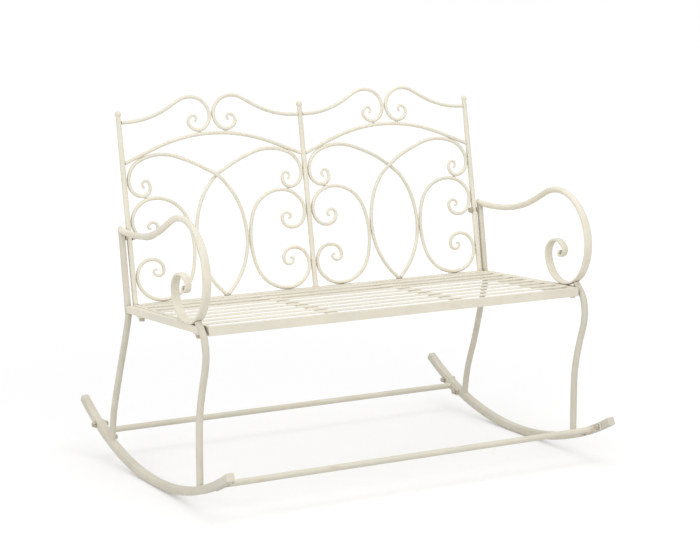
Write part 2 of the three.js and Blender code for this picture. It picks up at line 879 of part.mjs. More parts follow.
function buildBackRail() {
  const frame = new THREE.Group();
  frame.position.set(0, seatFrontY, seatHeight);
  frame.rotation.x = -seatSlope;
  bench.add(frame);
  const half = postSpacing - postTube / 2 - jointGap;
  const front = seatDepth + jointGap;
  const rail = boxTube(-half, half, front, front + backRailDepth, -backRailHeight, 0);
  add(frame, "back_bottom_rail", rail, paint);
}

// Bolt through each outer post, across a spacer and into the rear leg

const boltInBack = onBack(frameBoltHeight);

function onBack(height) {
  const foot = onSeat(backRun, 0);
  return point(foot.x + height * Math.sin(recline), foot.y + height * Math.cos(recline));
}

function rearLegTubeBody(inward) {
  const foot = footCut(rearFootY);
  const outline = () => roundOutline(rearLegTube, rearLegTube, tubeSides, rearLegSquareness);
  const body = bar(settingIn(rearLeg, inward), outline, { start: cornerCut(), end: foot });
  const face = inward * (rearLegInset + rearLegTube / 2);
  const bore = pin(boltBore, face - inward * (frameBoltDepth + jointGap), face + inward * rearLegTube);
  return cut(body, bore.translate(boltInBack.x, boltInBack.y, 0));
}

function spacer() {
  const inner = postSpacing + postTube / 2 + jointGap;
  const outer = sideSpacing / 2 - rearLegInset - rearLegTube / 2 - jointGap;
  const length = outer - inner;
  return cut(pin(postTube, 0, length, tubeSides), pin(boltBore, -length, 2 * length));
}

// Side frames

function buildSide(side, sign) {
  const frame = new THREE.Group();
  frame.applyMatrix4(sideways);
  frame.position.x = (sign * sideSpacing) / 2;
  bench.add(frame);
  const inward = -sign;
  add(frame, side + "_rocker", rocker(inward), paint);
  const armBar = bar(leaningIn(arm, inward), armOutline, { start: cornerCut() });
  add(frame, side + "_arm", armBar, paint);
  const legBar = bar(frontLeg, () => roundOutline(frontLegTube, frontLegTube, tubeSides), {
    start: footCut(frontFootY),
    end: seatOnCurl().along,
  });
  add(frame, side + "_front_leg", legBar, paint);
  add(frame, side + "_rear_leg", rearLegTubeBody(inward), paint);
  for (const [end, y] of [
    ["front", frontStretcherY],
    ["rear", rearStretcherY],
  ]) {
    const plateFace = (inward * rockerWidth) / 2 + inward * (plateThickness + 2 * jointGap);
    plateBoltSpots(y).forEach((spot, i) => {
      const place = ["front", "rear"][i];
      const through = spot.x > rearStretcherY;
      const shape = through
        ? throughBolt(plateThickness + rockerWidth + 3 * jointGap)
        : bolt(plateThickness + frameBoltDepth);
      const fastener = add(frame, side + "_" + end + "_stretcher_" + place + "_bolt", shape, steel);
      if (inward < 0) fastener.rotation.x = Math.PI;
      fastener.position.set(spot.x, spot.y, plateFace);
    });
  }
  const postAxis = sideSpacing / 2 - postSpacing;
  const legFace = rearLegInset + rearLegTube / 2;
  const headFace = inward * (postAxis + postTube / 2 + jointGap);
  const shank = postAxis + postTube / 2 - legFace + frameBoltDepth;
  const fastener = add(frame, side + "_back_bolt", bolt(shank), steel);
  if (inward < 0) fastener.rotation.x = Math.PI;
  fastener.position.set(boltInBack.x, boltInBack.y, headFace);
  const ring = add(frame, side + "_back_spacer", spacer(), steel);
  if (inward < 0) ring.rotation.x = Math.PI;
  ring.position.set(boltInBack.x, boltInBack.y, inward * (legFace + jointGap));
}

// Stretchers with their end plates

function stretcher(y) {
  const { centre, slope } = plateFrame(y);
  const outer = sideSpacing / 2 - rockerWidth / 2 - jointGap;
  const tube = pin(stretcherTube, -outer + plateThickness / 2, outer - plateThickness / 2, tubeSides);
  const plates = [-1, 1].map((sign) => {
    const plate = block(
      -plateLength / 2,
      plateLength / 2,
      -plateHeight / 2,
      plateHeight / 2,
      Math.min(sign * outer, sign * (outer - plateThickness)),
      Math.max(sign * outer, sign * (outer - plateThickness)),
    );
    return plate.rotateZ(slope);
  });
  const bores = plateBoltSpots(y).map((spot) =>
    pin(boltBore, -sideSpacing, sideSpacing).translate(spot.x - centre.x, spot.y - centre.y, 0),
  );
  return cut(join(tube, ...plates), ...bores).translate(centre.x, centre.y, 0).applyMatrix4(sideways);
}

buildSide("left", -1);
buildSide("right", 1);
buildSeat();
buildBackRail();
buildBack();
add(bench, "front_stretcher", stretcher(frontStretcherY), paint);
add(bench, "rear_stretcher", stretcher(rearStretcherY), paint);

// The dimensions above are measured from the lowest point of the rockers, the part from the middle of its length
const part = new THREE.Group();
part.add(bench);
bench.position.y = (rockerFrontLength - rockerRearLength) / 2;

export default part;
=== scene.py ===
"""Looks of the rocking bench: antique cream paint over bent and welded metal, dull steel fasteners, studio light."""
import math
from collections import namedtuple

import bpy
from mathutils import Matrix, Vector
from mathutils.bvhtree import BVHTree


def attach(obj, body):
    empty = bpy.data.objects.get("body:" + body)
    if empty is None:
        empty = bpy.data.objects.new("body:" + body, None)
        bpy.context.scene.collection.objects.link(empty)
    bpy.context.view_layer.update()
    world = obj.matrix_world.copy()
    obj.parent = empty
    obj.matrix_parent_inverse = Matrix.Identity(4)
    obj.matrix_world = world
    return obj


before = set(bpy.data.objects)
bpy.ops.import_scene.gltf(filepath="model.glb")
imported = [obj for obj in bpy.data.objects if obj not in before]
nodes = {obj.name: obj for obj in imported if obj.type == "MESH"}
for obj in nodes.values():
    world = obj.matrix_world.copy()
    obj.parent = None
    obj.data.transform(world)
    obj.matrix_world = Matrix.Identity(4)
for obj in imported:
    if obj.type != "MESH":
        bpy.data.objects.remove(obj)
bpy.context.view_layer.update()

MM = 0.001
FULL_TURN = 2 * math.pi


def linear(red, green, blue):
    """Colour as it is seen, from 0 to 255, to the linear values that a shader takes, by the sRGB curve."""
    def channel(value):
        value /= 255
        return value / 12.92 if value <= 0.04045 else ((value + 0.055) / 1.055) ** 2.4
    return (channel(red), channel(green), channel(blue), 1)


# Materials

CREAM = linear(236, 230, 214)
CREAM_WARM = linear(229, 219, 198)
CREAM_COOL = linear(226, 222, 206)
GLAZE = linear(176, 158, 124)
# Painted shade: the dark brown into which corners and the gaps between bars darken
CORNER_SHADE_BROWN = linear(122, 104, 78)
RUBBED = linear(243, 239, 227)
BARE = linear(112, 96, 80)

STEEL_DARK = linear(182, 172, 154)
STEEL_LIGHT = linear(210, 202, 185)
STEEL_STAIN = linear(128, 108, 84)
# Painted shade: the dark brown into which the creases of the fasteners darken
STEEL_CREASE_SHADE = linear(74, 62, 48)
STEEL_RUBBED = linear(214, 208, 194)

# A pattern of noise: the higher its scale, the finer. All under low gives least, all over high gives most.
Pattern = namedtuple("Pattern", "scale low high detail roughness distortion least most",
                     defaults=(3, 0.55, 0, 0.0, 1.0))

DRIFT = Pattern(scale=7, low=0.35, high=0.65, detail=2)
PATCHES = Pattern(scale=14, low=0.42, high=0.66)
CLOUD = Pattern(scale=38, low=0.4, high=0.7, detail=4, roughness=0.6)
STREAKS = Pattern(scale=60, low=0.5, high=0.76, detail=6, roughness=0.7, distortion=0.6)
GLOSS = Pattern(scale=75, low=0.3, high=0.75, detail=4, roughness=0.6, least=0.46, most=0.62)
# Noise that breaks up the painted shade in corners
CORNER_SHADE_MOTTLE = Pattern(scale=120, low=0.2, high=0.7, least=0.45)
CHIPS = Pattern(scale=150, low=0.63, high=0.69, detail=5, roughness=0.7)
PORES = Pattern(scale=420, low=0.6, high=0.78, detail=4, roughness=0.65)
SAG_SCALE = 90
PEEL_SCALE = 750

# How strongly each shows, from 0 to 1
CLOUD_SHARE = 0.55
PATCH_SHARE = 0.75
PORE_SHARE = 0.6
GLAZE_SHARE = 0.34
CORNER_SHADE_SHARE = 0.5
EDGE_SHARE = 0.55
CHIP_SHARE = 0.75
PEEL_HEIGHT = 0.35
SAG_HEIGHT = 0.8
CHIP_DEPTH = 0.6
CORNER_ROUGHNESS = 0.12

# The same for the steel
STEEL_CLOUD = Pattern(scale=260, low=0.35, high=0.7, detail=4, roughness=0.6)
STEEL_GLOSS = Pattern(scale=500, low=0.3, high=0.7, least=0.42, most=0.62)
STEEL_SPOTS = Pattern(scale=620, low=0.56, high=0.72, detail=5, roughness=0.7)
STEEL_RUBS = Pattern(scale=900, low=0.4, high=0.6)
GRAIN_SCALE = 1300
SPOT_SHARE = 0.5
CREASE_SHADE_SHARE = 0.75
RUB_SHARE = 0.6

OCCLUSION_SAMPLES = 8
BEVEL_SAMPLES = 6


class Tree:
    """A node tree under construction."""

    def __init__(self, material):
        material.use_nodes = True
        self.nodes = material.node_tree.nodes
        self.links = material.node_tree.links
        self.nodes.clear()

    def add(self, kind, inputs=None, **settings):
        node = self.nodes.new(kind)
        for name, value in settings.items():
            setattr(node, name, value)
        for key, value in (inputs or {}).items():
            self.feed(value, node.inputs[key])
        return node

    def feed(self, value, socket):
        """Links the socket where the value is another node's output, and sets it otherwise."""
        if isinstance(value, bpy.types.NodeSocket):
            self.links.new(value, socket)
        else:
            socket.default_value = value

    def noise(self, place, scale, detail=3, roughness=0.55, distortion=0):
        node = self.add("ShaderNodeTexNoise", {
            "Vector": place, "Scale": scale, "Detail": detail, "Roughness": roughness, "Distortion": distortion})
        return node.outputs["Fac"]

    def ramp(self, value, low, high, out_low=0.0, out_high=1.0):
        node = self.add("ShaderNodeMapRange", {
            "Value": value, "From Min": low, "From Max": high, "To Min": out_low, "To Max": out_high})
        node.interpolation_type = "SMOOTHSTEP"
        return node.outputs["Result"]

    def pattern(self, place, kind):
        grain = self.noise(place, kind.scale, kind.detail, kind.roughness, kind.distortion)
        return self.ramp(grain, kind.low, kind.high, kind.least, kind.most)

    def math(self, operation, first, second):
        node = self.add("ShaderNodeMath", {0: first, 1: second}, operation=operation)
        return node.outputs[0]

    def mix(self, share, first, second):
        """Colour mix. The node has a socket of each name for every data type: 0, 6, 7 and output 2 are the colour's."""
        node = self.add("ShaderNodeMix", {0: share, 6: first, 7: second}, data_type="RGBA")
        return node.outputs[2]

    def place(self, shift, stretch=(1, 1, 1)):
        spot = self.add("ShaderNodeTexCoord").outputs["Object"]
        moved = self.add("ShaderNodeMapping", {"Vector": spot, "Location": shift, "Scale": stretch})
        return moved.outputs["Vector"]

    def corner(self, reach, free, shut):
        """The mask of painted shade in corners and creases: 0 where a share over free of the surroundings within reach
        is open, 1 where it is under shut.
        """
        node = self.add("ShaderNodeAmbientOcclusion", {"Distance": reach}, samples=OCCLUSION_SAMPLES)
        return self.ramp(node.outputs["AO"], free, shut)

    def edge(self, radius, flat, sharp):
        """0 on a flat face, 1 on an edge: how far a rounded normal turns off the straight one, as a cosine."""
        rounded = self.add("ShaderNodeBevel", {"Radius": radius}, samples=BEVEL_SAMPLES).outputs["Normal"]
        straight = self.add("ShaderNodeNewGeometry").outputs["Normal"]
        along = self.add("ShaderNodeVectorMath", {0: rounded, 1: straight}, operation="DOT_PRODUCT").outputs["Value"]
        return self.ramp(along, flat, sharp)

    def surface(self, colour, rough, bump, gloss):
        bumps = self.add("ShaderNodeBump", bump)
        shader = self.add("ShaderNodeBsdfPrincipled", {
            "Base Color": colour, "Roughness": rough, "Normal": bumps.outputs["Normal"], **gloss})
        self.add("ShaderNodeOutputMaterial", {"Surface": shader.outputs["BSDF"]})


def toned(colour, shade_factor):
    """The colour darkened by a factor: painted shade, for the darker copies of the cream on the lower parts."""
    return tuple(value * shade_factor for value in colour[:3]) + (1,)


def antique_paint(name, shift, glaze=1.0, wear=1.0, stretch=(1, 1, 1), shade_factor=1.0):
    """Sprayed cream with a thin brown glaze wiped over it, which stays in pores and is rubbed off edges; corners get
    painted shade in a darker brown, and a factor below 1 darkens the whole cream as painted shade.
    """
    material = bpy.data.materials.new(name)
    tree = Tree(material)
    spot = tree.place(shift)
    brushed = tree.place(shift, stretch)

    drift = tree.pattern(spot, DRIFT)
    cloud = tree.pattern(spot, CLOUD)
    base = tree.mix(drift, toned(CREAM_COOL, shade_factor), toned(CREAM, shade_factor))
    base = tree.mix(tree.math("MULTIPLY", cloud, CLOUD_SHARE), base, toned(CREAM_WARM, shade_factor))

    streaks = tree.pattern(brushed, STREAKS)
    pores = tree.pattern(spot, PORES)
    patches = tree.math("MULTIPLY", tree.pattern(spot, PATCHES), PATCH_SHARE)
    patches = tree.math("ADD", patches, 1 - PATCH_SHARE)
    wiped = tree.math("MAXIMUM", tree.math("MULTIPLY", streaks, patches), tree.math("MULTIPLY", pores, PORE_SHARE))
    colour = tree.mix(tree.math("MULTIPLY", wiped, GLAZE_SHARE * glaze), base, GLAZE)

    # Painted shade: corners and the wedges between bars darken towards a dark brown, broken up by a mottle
    corner = tree.corner(reach=16 * MM, free=0.72, shut=0.25)
    corner = tree.math("MULTIPLY", corner, tree.pattern(spot, CORNER_SHADE_MOTTLE))
    colour = tree.mix(tree.math("MULTIPLY", corner, CORNER_SHADE_SHARE * glaze), colour, CORNER_SHADE_BROWN)

    edge = tree.edge(radius=1.4 * MM, flat=0.985, sharp=0.86)
    colour = tree.mix(tree.math("MULTIPLY", edge, EDGE_SHARE), colour, RUBBED)
    chips = tree.math("MULTIPLY", tree.pattern(spot, CHIPS), edge)
    chips = tree.math("MULTIPLY", chips, CHIP_SHARE * wear)
    colour = tree.mix(chips, colour, BARE)

    rough = tree.math("ADD", tree.pattern(spot, GLOSS), tree.math("MULTIPLY", corner, CORNER_ROUGHNESS))
    peel = tree.math("MULTIPLY", tree.noise(spot, PEEL_SCALE, detail=2, roughness=0.5), PEEL_HEIGHT)
    sag = tree.math("MULTIPLY", tree.noise(brushed, SAG_SCALE, roughness=0.5), SAG_HEIGHT)
    height = tree.math("SUBTRACT", tree.math("ADD", peel, sag), tree.math("MULTIPLY", chips, CHIP_DEPTH))
    tree.surface(colour, rough, {"Height": height, "Strength": 0.28, "Distance": 0.5 * MM},
                 {"Metallic": 0.0, "IOR": 1.45, "Specular IOR Level": 0.38})
    return material


def dull_steel(name):
    """Plain steel bolts: grey-beige with a cloudy sheen, painted shade in brown in the creases, bright where a spanner
    has been.
    """
    material = bpy.data.materials.new(name)
    tree = Tree(material)
    spot = tree.place((3.1, 0.4, 1.7))
    colour = tree.mix(tree.pattern(spot, STEEL_CLOUD), STEEL_DARK, STEEL_LIGHT)
    stain = tree.math("MULTIPLY", tree.pattern(spot, STEEL_SPOTS), SPOT_SHARE)
    colour = tree.mix(stain, colour, STEEL_STAIN)
    # Painted shade: the creases round heads, nuts and washers darken to a dark brown
    crease = tree.math("MULTIPLY", tree.corner(reach=5 * MM, free=0.8, shut=0.3), CREASE_SHADE_SHARE)
    colour = tree.mix(crease, colour, STEEL_CREASE_SHADE)
    edge = tree.edge(radius=0.7 * MM, flat=0.97, sharp=0.85)
    edge = tree.math("MULTIPLY", edge, tree.pattern(spot, STEEL_RUBS))
    colour = tree.mix(tree.math("MULTIPLY", edge, RUB_SHARE), colour, STEEL_RUBBED)
    rough = tree.pattern(spot, STEEL_GLOSS)
    grain = tree.noise(spot, GRAIN_SCALE)
    tree.surface(colour, rough, {"Height": grain, "Strength": 0.2, "Distance": 0.2 * MM}, {"Metallic": 0.25})
    return material


# Edges of the frame's pieces: merged, shaded smooth round the tubes and sharp at the corners

MERGE_DISTANCE = 0.002 * MM
ROUNDING_LOSS = 0.14 * MM  # what a subdivided rod loses of its radius, given back by a swell beforehand
BEVEL_ANGLE = 50
BEVEL_SEGMENTS = 2

FASTENER_BEVEL = 0.35 * MM
BAR_BEVEL = 0.5 * MM
ROCKER_BEVEL = 0.6 * MM
RAIL_BEVEL = 0.7 * MM
NO_BEVEL = 0


def smoothing_group(name, limit, rounder=False):
    """Merges the faces, splits the shading at edges over limit degrees and, where rounder, rounds facets between."""
    group = bpy.data.node_groups.new(name, "GeometryNodeTree")
    group.interface.new_socket("Geometry", in_out="INPUT", socket_type="NodeSocketGeometry")
    group.interface.new_socket("Geometry", in_out="OUTPUT", socket_type="NodeSocketGeometry")
    make, link = group.nodes.new, group.links.new
    start, end = make("NodeGroupInput"), make("NodeGroupOutput")
    merge = make("GeometryNodeMergeByDistance")
    merge.inputs["Distance"].default_value = MERGE_DISTANCE
    bare = make("GeometryNodeRemoveAttribute")
    bare.inputs["Name"].default_value = "custom_normal"
    angle = make("GeometryNodeInputMeshEdgeAngle")
    soft = make("FunctionNodeCompare")
    soft.data_type, soft.operation = "FLOAT", "LESS_EQUAL"
    soft.inputs[1].default_value = math.radians(limit)
    edges, faces = make("GeometryNodeSetShadeSmooth"), make("GeometryNodeSetShadeSmooth")
    edges.domain, faces.domain = "EDGE", "FACE"
    link(start.outputs[0], merge.inputs["Geometry"])
    link(merge.outputs[0], bare.inputs["Geometry"])
    shape = bare.outputs[0]
    if rounder:
        swell, outward = make("GeometryNodeSetPosition"), make("ShaderNodeVectorMath")
        outward.operation = "SCALE"
        outward.inputs["Scale"].default_value = ROUNDING_LOSS
        finer = make("GeometryNodeSubdivisionSurface")
        finer.inputs["Level"].default_value = 1
        crease = make("FunctionNodeCompare")
        crease.data_type, crease.operation = "FLOAT", "GREATER_THAN"
        crease.inputs[1].default_value = math.radians(limit)
        link(make("GeometryNodeInputNormal").outputs["Normal"], outward.inputs[0])
        link(shape, swell.inputs["Geometry"])
        link(outward.outputs["Vector"], swell.inputs["Offset"])
        link(swell.outputs[0], finer.inputs["Mesh"])
        link(angle.outputs["Unsigned Angle"], crease.inputs[0])
        link(crease.outputs[0], finer.inputs["Edge Crease"])
        shape = finer.outputs[0]
    link(shape, edges.inputs["Geometry"])
    link(angle.outputs["Unsigned Angle"], soft.inputs[0])
    link(soft.outputs[0], edges.inputs["Shade Smooth"])
    link(edges.outputs[0], faces.inputs["Geometry"])
    link(faces.outputs[0], end.inputs[0])
    return group


smooth_rods = smoothing_group("smooth_rods", limit=50, rounder=True)
smooth_tubes = smoothing_group("smooth_tubes", limit=50)
smooth_boxes = smoothing_group("smooth_boxes", limit=25)

back_paint = antique_paint("paint_back", (0.0, 0.0, 0.0), stretch=(1, 1, 0.35))
frame_paint = antique_paint("paint_frames", (2.3, 1.1, 0.4), glaze=1.15, wear=1.1, stretch=(1, 0.6, 0.4))
seat_paint = antique_paint("paint_seat", (0.7, 3.2, 1.9), glaze=0.9, wear=1.2, stretch=(0.2, 1, 1))
# Painted shade: the stretchers' copy and the legs' and rockers' copy of the cream are darker, for the lower parts that
# get less light
shaded_bar_paint = antique_paint("paint_stretchers_shaded", (1.9, 0.3, 2.6), stretch=(0.2, 1, 1), shade_factor=0.92)
shaded_leg_paint = antique_paint("paint_legs_shaded", (1.4, 2.7, 0.9), glaze=1.2, wear=1.2, stretch=(1, 0.6, 0.4), shade_factor=0.85)
steel = dull_steel("dull_steel")


def look_of(name):
    """A node's material, smoothing and width of bevel."""
    if "bolt" in name or "spacer" in name:
        return steel, smooth_boxes, FASTENER_BEVEL
    if "stretcher" in name:
        return shaded_bar_paint, smooth_tubes, BAR_BEVEL
    if name.startswith("seat_") or "seat_side_rail" in name or "slat_support" in name:
        return seat_paint, smooth_boxes, BAR_BEVEL
    if name == "back_bottom_rail" or "frame_side_rail" in name:
        return frame_paint, smooth_boxes, RAIL_BEVEL
    if "rocker" in name:
        return shaded_leg_paint, smooth_boxes, ROCKER_BEVEL
    if name.endswith("_leg"):
        return shaded_leg_paint, smooth_tubes, NO_BEVEL
    if name.startswith("back_") or "_bay_" in name:
        return back_paint, smooth_rods, NO_BEVEL
    return frame_paint, smooth_rods, NO_BEVEL


def dress(node, material, group, bevel):
    node.data.materials.clear()
    node.data.materials.append(material)
    node.modifiers.new("smooth", "NODES").node_group = group
    if bevel:
        edge = node.modifiers.new("soft_edge", "BEVEL")
        edge.width = bevel
        edge.segments = BEVEL_SEGMENTS
        edge.limit_method = "ANGLE"
        edge.angle_limit = math.radians(BEVEL_ANGLE)
        edge.harden_normals = True


for name, node in nodes.items():
    dress(node, *look_of(name))


# Weld beads where the painted bars nearly touch: drops in the valley between two rods, a ring round a bar's end, a
# lump where the ogive rods meet on the rail and a collar round each post's foot

TOUCH = 0.9 * MM              # bars closer than this are welded
POINT_GRID = 0.02 * MM        # points closer than this are one
SAMPLE_STEP = 1.5 * MM        # spacing of the points tested along each edge
JOINT_REACH = 4 * MM          # touching points closer than this belong to one joint
FEWEST_POINTS = 4             # a joint with fewer isn't welded
SHORTEST_JOINT = 0.5 * MM
NO_LENGTH = 1e-9

LONG_TOUCH = 0.45             # a joint narrower than this share of its length lies between two rods
SHORT_TOUCH = 2.4 * MM        # and so does a joint shorter than this
THINNEST_ROD, THICKEST_ROD = 2.5 * MM, 9 * MM
SHORTEST_DROP, LONGEST_DROP = 3.5 * MM, 10 * MM
DROP_WIDTH = 0.34             # half width and place of a drop, as shares of the rod's radius
DROP_PLACE = 0.58
DROP_RINGS, DROP_SIDES = 8, 10
DROP_WAVES = ((0.1, 4.1, 900), (0.05, 3, 700))

RING_STEPS, RING_SIDES = 22, 7
RING_SECTOR = 0.3             # radians to each side in which a ring looks for its farthest point
RING_SHARE = 0.2              # a ring's radius is this share of the rod's, and some more, up to the thickest
RING_EXTRA, THICKEST_RING = 0.5 * MM, 2 * MM
RING_WAVES = ((0.14, 2.3, 0), (0.08, 0.9, 500))

RAY_START, RAY_REACH = 0.2 * MM, 60 * MM
OPEN_THICKNESS = 10 * MM      # taken for a bar whose far side the ray doesn't find

FOOT_HEIGHT = 4 * MM
LUMP_OVERHANG, LUMP_DEPTH, LUMP_HEIGHT, LUMP_RISE = 3 * MM, 4.2 * MM, 3.6 * MM, 2.2 * MM
COLLAR_RADIUS, COLLAR_RISE = 1.5 * MM, 0.5 * MM

X, Y, Z = Vector((1, 0, 0)), Vector((0, 1, 0)), Vector((0, 0, 1))


def clamp(value, low, high):
    return min(max(value, low), high)


def wave(kind, step, spot):
    """One part of a bead's unevenness, which differs from place to place: strength, pace and spread over places."""
    strength, pace, spread = kind
    return strength * math.sin(pace * step + spread * spot)


def turn_between(one, other):
    """The angle between two directions, from 0 to half a turn."""
    return abs((one - other + math.pi) % FULL_TURN - math.pi)


class Shape:
    """A node's merged points, faces and edges, with a tree for nearest points."""

    def __init__(self, node):
        places, index = {}, []
        self.points, faces, edges = [], [], set()
        for vertex in node.data.vertices:
            spot = node.matrix_world @ vertex.co
            key = tuple(round(value / POINT_GRID) for value in spot)
            if key not in places:
                places[key] = len(self.points)
                self.points.append(spot)
            index.append(places[key])
        for face in node.data.polygons:
            corners = [index[corner] for corner in face.vertices]
            if len(set(corners)) > 2:
                faces.append(corners)
                edges.update((min(pair), max(pair)) for pair in zip(corners, corners[1:] + corners[:1]))
        self.tree = BVHTree.FromPolygons(self.points, faces)
        self.low = [min(spot[axis] for spot in self.points) - TOUCH for axis in range(3)]
        self.high = [max(spot[axis] for spot in self.points) + TOUCH for axis in range(3)]
        self.samples = []
        for one, other in sorted(edges):
            start, end = self.points[one], self.points[other]
            count = max(1, math.ceil((end - start).length / SAMPLE_STEP))
            self.samples += [start.lerp(end, i / count) for i in range(count)]

    def holds(self, spot):
        return all(self.low[axis] < spot[axis] < self.high[axis] for axis in range(3))

    def meets(self, other):
        return all(self.low[axis] < other.high[axis] and other.low[axis] < self.high[axis] for axis in range(3))

    def thickness(self, spot, inward):
        hit = self.tree.ray_cast(spot + inward * RAY_START, inward, RAY_REACH)
        return hit[3] if hit[0] is not None else OPEN_THICKNESS


def touches(first, second):
    """Groups of pairs of points, one on each shape, where the two nearly meet."""
    found = []
    for spot in first.samples:
        if second.holds(spot):
            nearest = second.tree.find_nearest(spot, TOUCH)[0]
            if nearest is not None:
                found.append((spot, nearest))
    for spot in second.samples:
        if first.holds(spot):
            nearest = first.tree.find_nearest(spot, TOUCH)[0]
            if nearest is not None:
                found.append((nearest, spot))
    groups = []
    while found:
        group, found = [found[0]], found[1:]
        reached = 0
        while reached < len(group):
            seed = group[reached][0]
            near = [pair for pair in found if (pair[0] - seed).length < JOINT_REACH]
            found = [pair for pair in found if (pair[0] - seed).length >= JOINT_REACH]
            group += near
            reached += 1
        if len(group) >= FEWEST_POINTS:
            groups.append(group)
    return groups


def outline(group, middle, along, through):
    """The farthest touching point in each direction, as a smoothed loop."""
    spots = []
    for spot, _ in group:
        away = spot - middle
        spots.append((math.atan2(away.dot(through), away.dot(along)), away.length, spot))
    reach = sorted(length for _, length, _ in spots)[-max(1, len(spots) // 4)]
    loop = []
    for i in range(RING_STEPS):
        angle = -math.pi + FULL_TURN * i / RING_STEPS
        near = [item for item in spots if turn_between(item[0], angle) < RING_SECTOR]
        if near:
            loop.append(max(near, key=lambda item: item[1])[2])
        else:
            loop.append(middle + (along * math.cos(angle) + through * math.sin(angle)) * reach)
    return [(loop[i - 1] + loop[i] * 2 + loop[(i + 1) % len(loop)]) / 4 for i in range(len(loop))]


def foot(node):
    """The middle of the foot with which a rod or post stands on the rail, and half its width."""
    low = min(vertex.co.z for vertex in node.data.vertices)
    ends = [vertex.co for vertex in node.data.vertices if vertex.co.z < low + FOOT_HEIGHT]
    middle = sum(ends, Vector()) / len(ends)
    return Vector((middle.x, middle.y, low)), (max(end.x for end in ends) - min(end.x for end in ends)) / 2


class Beads:
    """Weld beads under construction, for one piece."""

    def __init__(self):
        self.points, self.faces = [], []

    def drop(self, centre, axes, half):
        """Closed, slightly uneven drop with half sizes along three axes."""
        base = len(self.points)
        for ring in range(DROP_RINGS + 1):
            angle = math.pi * ring / DROP_RINGS
            for side in range(DROP_SIDES):
                turn = FULL_TURN * side / DROP_SIDES
                uneven = 1 + wave(DROP_WAVES[0], ring, centre.x) + wave(DROP_WAVES[1], turn, centre.z)
                wide = math.sin(angle) * uneven
                self.points.append(centre + axes[0] * (half[0] * math.cos(angle))
                                   + axes[1] * (half[1] * wide * math.cos(turn))
                                   + axes[2] * (half[2] * wide * math.sin(turn)))
        self.skin(base, DROP_RINGS, DROP_SIDES, False)

    def ring(self, loop, across, radius):
        """Rippled bead along a closed loop of points."""
        centre = sum(loop, Vector()) / len(loop)
        base = len(self.points)
        for i, spot in enumerate(loop):
            out = spot - centre
            out = (out - across * out.dot(across)).normalized()
            size = radius * (1 + wave(RING_WAVES[0], i, centre.x) + wave(RING_WAVES[1], i, centre.x))
            for side in range(RING_SIDES):
                turn = FULL_TURN * side / RING_SIDES
                self.points.append(spot + out * (size * math.cos(turn)) + across * (size * math.sin(turn)))
        self.skin(base, len(loop), RING_SIDES, True)

    def skin(self, base, rings, sides, closed):
        for ring in range(rings):
            ahead = (ring + 1) % rings if closed else ring + 1
            for side in range(sides):
                beside = (side + 1) % sides
                self.faces.append((base + ring * sides + side, base + ring * sides + beside,
                                   base + ahead * sides + beside, base + ahead * sides + side))

    def join(self, first, second):
        """Two drops or a ring at each place where the shapes nearly meet."""
        for group in touches(first, second):
            middle = sum((spot for spot, _ in group), Vector()) / len(group)
            across = sum((nearest - spot for spot, nearest in group), Vector())
            if across.length < NO_LENGTH:
                continue
            across.normalize()
            far = max(group, key=lambda pair: (pair[0] - middle).length)[0] - middle
            along = far - across * far.dot(across)
            if along.length < SHORTEST_JOINT:
                continue
            along.normalize()
            through = across.cross(along)
            reach = max(abs((spot - middle).dot(along)) for spot, _ in group)
            width = max(abs((spot - middle).dot(through)) for spot, _ in group)
            radius = min(first.thickness(middle, -across), second.thickness(middle, across)) / 2
            radius = clamp(radius, THINNEST_ROD, THICKEST_ROD)
            if width < LONG_TOUCH * reach or reach < SHORT_TOUCH:
                half = (clamp(reach, SHORTEST_DROP, LONGEST_DROP), DROP_WIDTH * radius, DROP_WIDTH * radius)
                for side in (-1, 1):
                    self.drop(middle + through * (side * DROP_PLACE * radius), (along, across, through), half)
            else:
                bead = min(RING_SHARE * radius + RING_EXTRA, THICKEST_RING)
                self.ring(outline(group, middle, along, through), across, bead)

    def lump(self, first, second):
        """The lump in which the feet of two ogive rods meet on the rail."""
        one, other = foot(first)[0], foot(second)[0]
        half = ((one - other).length / 2 + LUMP_OVERHANG, LUMP_DEPTH, LUMP_HEIGHT)
        self.drop((one + other) / 2 + Z * LUMP_RISE, (X, Y, Z), half)

    def collar(self, post):
        """The ring round a post's foot."""
        middle, radius = foot(post)
        loop = []
        for i in range(RING_STEPS):
            angle = FULL_TURN * i / RING_STEPS
            loop.append(middle + Vector((radius * math.cos(angle), radius * math.sin(angle), COLLAR_RISE)))
        self.ring(loop, Z, COLLAR_RADIUS)

    def make(self, name, material):
        mesh = bpy.data.meshes.new(name)
        mesh.from_pydata(self.points, [], self.faces)
        mesh.polygons.foreach_set("use_smooth", [True] * len(mesh.polygons))
        mesh.materials.append(material)
        piece = bpy.data.objects.new(name, mesh)
        bpy.context.scene.collection.objects.link(piece)
        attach(piece, "root")


def weld(members):
    """The beads between each two of the named nodes."""
    shapes = [Shape(nodes[member]) for member in members]
    beads = Beads()
    for i, first in enumerate(shapes):
        for second in shapes[i + 1:]:
            if first.meets(second):
                beads.join(first, second)
    return beads


back_beads = weld([name for name in nodes
                   if name.startswith("back_post") or name == "back_bottom_rail" or "_bay_" in name])
for bay in ("left", "right"):
    back_beads.lump(nodes[bay + "_bay_left_ogive_rod"], nodes[bay + "_bay_right_ogive_rod"])
for place in ("left", "middle", "right"):
    back_beads.collar(nodes["back_post_" + place])
back_beads.make("weld_beads_back", back_paint)

for side in ("left", "right"):
    bars = ("arm", "front_leg", "rear_leg", "frame_side_rail", "rocker")
    weld([side + "_" + bar for bar in bars]).make("weld_beads_" + side + "_frame", shaded_leg_paint)


# Studio: white floor and surroundings, soft lamps above, in front and at the left, and a weak one at the right

